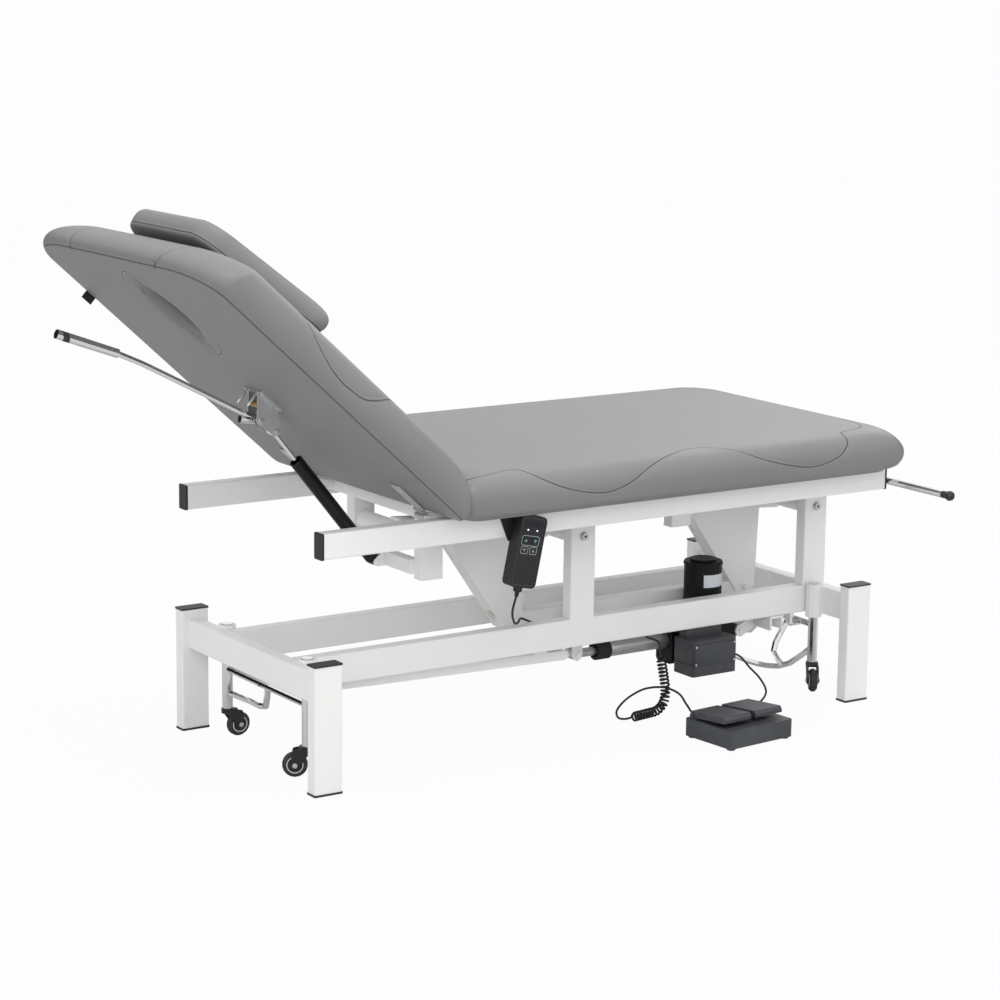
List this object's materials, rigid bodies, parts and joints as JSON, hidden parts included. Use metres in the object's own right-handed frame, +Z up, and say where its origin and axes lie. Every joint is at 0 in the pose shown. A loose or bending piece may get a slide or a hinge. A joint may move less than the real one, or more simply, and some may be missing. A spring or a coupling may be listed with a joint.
{
  "type": "examination table",
  "caption": "Height-adjustable examination table: cushion with raised backrest and pillow on a steel frame with a motor-driven linkage lift and step-down castors.",
  "frame": {"origin": "on the floor, at the middle of the base's four legs", "axes": "+X along the table towards the foot end, +Y across it away from the hand control, +Z up"},
  "size_m": [1.8037, 0.8543, 1.0818],
  "materials": {
    "white": "satin off-white powder coat",
    "black": "matte black plastic",
    "chrome": "bright chrome plate",
    "steel": "zinc-plated steel",
    "vinyl": "grey grained vinyl over foam",
    "rubber": "black rubber and cable sheath"
  },
  "bodies": {
    "base": {"end_frame_head": "white", "end_frame_foot": "white", "foot_head_near": "rubber", "foot_head_far": "rubber", "foot_foot_near": "rubber", "foot_foot_far": "rubber", "side_rail_near": "white", "side_rail_far": "white", "pivot_axle_head": "steel", "pivot_axle_foot": "steel", "drive_channel": "white", "brace_bar": "white", "control_box": "black", "foot_switch": "black", "hand_lead": "rubber", "foot_lead": "rubber", "box_lead": "rubber", "curly_lead": "rubber"},
    "lift_arm_head": {"lift_arm_head": "white"},
    "lift_arm_foot": {"lift_arm_foot": "white"},
    "sync_beam": {"sync_beam": "white"},
    "drive": {"drive_motor": "black", "drive_tube": "steel"},
    "drive_rod": {"drive_rod": "steel"},
    "upper_frame": {"upper_frame": "white", "rail_cap_head_near": "black", "rail_cap_head_far": "black", "rail_cap_foot_near": "black", "rail_cap_foot_far": "black", "seat_cushion": "vinyl", "hand_control": "black", "hand_clip": "black"},
    "backrest": {"back_cushion": "vinyl", "hinge_strap_near": "white", "hinge_strap_far": "white", "gas_bracket": "white"},
    "gas_cylinder": {"gas_cylinder": "black"},
    "gas_rod": {"gas_rod": "chrome"},
    "release_lever": {"release_lever": "chrome", "lever_grip": "chrome"},
    "pillow": {"pillow": "vinyl"},
    "roll_bar": {"roll_bar": "chrome"},
    "castor_yoke_head": {"castor_yoke_head": "chrome"},
    "castor_yoke_foot": {"castor_yoke_foot": "chrome"},
    "foot_pedal_left": {"foot_pedal_left": "black"},
    "foot_pedal_right": {"foot_pedal_right": "black"},
    "hand_button_up": {"hand_button_up": "black"},
    "hand_button_down": {"hand_button_down": "black"},
    "fork_head_near": {"fork_head_near": "black"},
    "wheel_head_near": {"wheel_head_near": "rubber"},
    "fork_head_far": {"fork_head_far": "black"},
    "wheel_head_far": {"wheel_head_far": "rubber"},
    "fork_foot_near": {"fork_foot_near": "black"},
    "wheel_foot_near": {"wheel_foot_near": "rubber"},
    "fork_foot_far": {"fork_foot_far": "black"},
    "wheel_foot_far": {"wheel_foot_far": "rubber"}
  },
  "joints": [
    {"name": "lift", "type": "hinge", "parent": "base", "child": "lift_arm_head", "pos_m": [0.0285, 0, 0.404], "axis": [0, 1, 0], "range_deg": [0, 45]},
    {"name": "upper_level", "type": "hinge", "parent": "lift_arm_head", "child": "upper_frame", "pos_m": [-0.336, 0, 0.43], "axis": [0, 1, 0], "range_deg": [-45, 0]},
    {"name": "lift_foot", "type": "hinge", "parent": "base", "child": "lift_arm_foot", "pos_m": [0.642, 0, 0.404], "axis": [0, 1, 0], "range_deg": [0, 45]},
    {"name": "sync_pivot", "type": "hinge", "parent": "lift_arm_head", "child": "sync_beam", "pos_m": [-0.0625, 0, 0.213], "axis": [0, 1, 0], "range_deg": [-45, 0]},
    {"name": "drive_swing", "type": "hinge", "parent": "base", "child": "drive", "pos_m": [0.49, -0.068, 0.1347], "axis": [0, 1, 0], "range_deg": [0, 12.3]},
    {"name": "drive_rod_pivot", "type": "hinge", "parent": "sync_beam", "child": "drive_rod", "pos_m": [0.062, -0.068, 0.1347], "axis": [0, 1, 0], "range_deg": [0, 12.3]},
    {"name": "backrest", "type": "hinge", "parent": "upper_frame", "child": "backrest", "pos_m": [-0.4069, 0, 0.503], "axis": [0, 1, 0], "range_deg": [-42, 0]},
    {"name": "gas_cylinder", "type": "hinge", "parent": "upper_frame", "child": "gas_cylinder", "pos_m": [-0.3826, 0, 0.372], "axis": [0, 1, 0], "range_deg": [-30, 1]},
    {"name": "gas_rod", "type": "hinge", "parent": "backrest", "child": "gas_rod", "pos_m": [-0.6147, 0, 0.6568], "axis": [0, 1, 0], "range_deg": [-1, 13]},
    {"name": "release_lever", "type": "hinge", "parent": "backrest", "child": "release_lever", "pos_m": [-0.6499, 0, 0.6814], "axis": [0, 1, 0], "range_deg": [0, 8], "stiffness_Nm_per_rad": 20, "springref_deg": -2.86},
    {"name": "pillow_slide", "type": "slide", "parent": "backrest", "child": "pillow", "axis": [0.7431, 0, -0.6691], "range_m": [0, 0.12]},
    {"name": "roll_bar_draw", "type": "slide", "parent": "upper_frame", "child": "roll_bar", "axis": [0, -1, 0], "range_m": [0, 0.5]},
    {"name": "castor_step_head", "type": "slide", "parent": "base", "child": "castor_yoke_head", "axis": [0, 0, -1], "range_m": [0, 0.02]},
    {"name": "castor_step_foot", "type": "slide", "parent": "base", "child": "castor_yoke_foot", "axis": [0, 0, -1], "range_m": [0, 0.02]},
    {"name": "swivel_head_near", "type": "hinge", "parent": "castor_yoke_head", "child": "fork_head_near", "pos_m": [-0.63, -0.162, 0.0637], "axis": [0, 0, 1], "continuous": true},
    {"name": "wheel_head_near", "type": "hinge", "parent": "fork_head_near", "child": "wheel_head_near", "pos_m": [-0.65078, -0.15, 0.028], "axis": [-0.5, -0.866, 0], "continuous": true},
    {"name": "swivel_head_far", "type": "hinge", "parent": "castor_yoke_head", "child": "fork_head_far", "pos_m": [-0.63, 0.162, 0.0637], "axis": [0, 0, 1], "continuous": true},
    {"name": "wheel_head_far", "type": "hinge", "parent": "fork_head_far", "child": "wheel_head_far", "pos_m": [-0.606, 0.162, 0.028], "axis": [0, 1, 0], "continuous": true},
    {"name": "swivel_foot_near", "type": "hinge", "parent": "castor_yoke_foot", "child": "fork_foot_near", "pos_m": [0.63, -0.162, 0.0637], "axis": [0, 0, 1], "continuous": true},
    {"name": "wheel_foot_near", "type": "hinge", "parent": "fork_foot_near", "child": "wheel_foot_near", "pos_m": [0.61693, -0.18213, 0.028], "axis": [0.8387, -0.5446, 0], "continuous": true},
    {"name": "swivel_foot_far", "type": "hinge", "parent": "castor_yoke_foot", "child": "fork_foot_far", "pos_m": [0.63, 0.162, 0.0637], "axis": [0, 0, 1], "continuous": true},
    {"name": "wheel_foot_far", "type": "hinge", "parent": "fork_foot_far", "child": "wheel_foot_far", "pos_m": [0.65255, 0.17021, 0.028], "axis": [-0.342, 0.9397, 0], "continuous": true},
    {"name": "pedal_left", "type": "hinge", "parent": "base", "child": "foot_pedal_left", "pos_m": [0.2138, -0.326, 0.048], "axis": [0.9962, 0.0872, 0], "range_deg": [0, 4.5], "stiffness_Nm_per_rad": 3, "springref_deg": -2.86},
    {"name": "pedal_right", "type": "hinge", "parent": "base", "child": "foot_pedal_right", "pos_m": [0.2995, -0.3185, 0.048], "axis": [0.9962, 0.0872, 0], "range_deg": [0, 4.5], "stiffness_Nm_per_rad": 3, "springref_deg": -2.86},
    {"name": "button_up", "type": "slide", "parent": "upper_frame", "child": "hand_button_up", "axis": [0, 1, 0], "range_m": [0, 0.001], "stiffness_N_per_m": 200, "springref_m": -0.0005},
    {"name": "button_down", "type": "slide", "parent": "upper_frame", "child": "hand_button_down", "axis": [0, 1, 0], "range_m": [0, 0.001], "stiffness_N_per_m": 200, "springref_m": -0.0005}
  ],
  "couplings": [
    {"joint": "upper_level", "follows": "lift", "ratio": -1},
    {"joint": "lift_foot", "follows": "lift", "ratio": 1},
    {"joint": "sync_pivot", "follows": "lift", "ratio": -1},
    {"joint": "drive_swing", "follows": "lift", "ratio": 0.272},
    {"joint": "drive_rod_pivot", "follows": "lift", "ratio": 0.272},
    {"joint": "gas_cylinder", "follows": "backrest", "ratio": 0.7},
    {"joint": "gas_rod", "follows": "backrest", "ratio": -0.3}
  ]
}
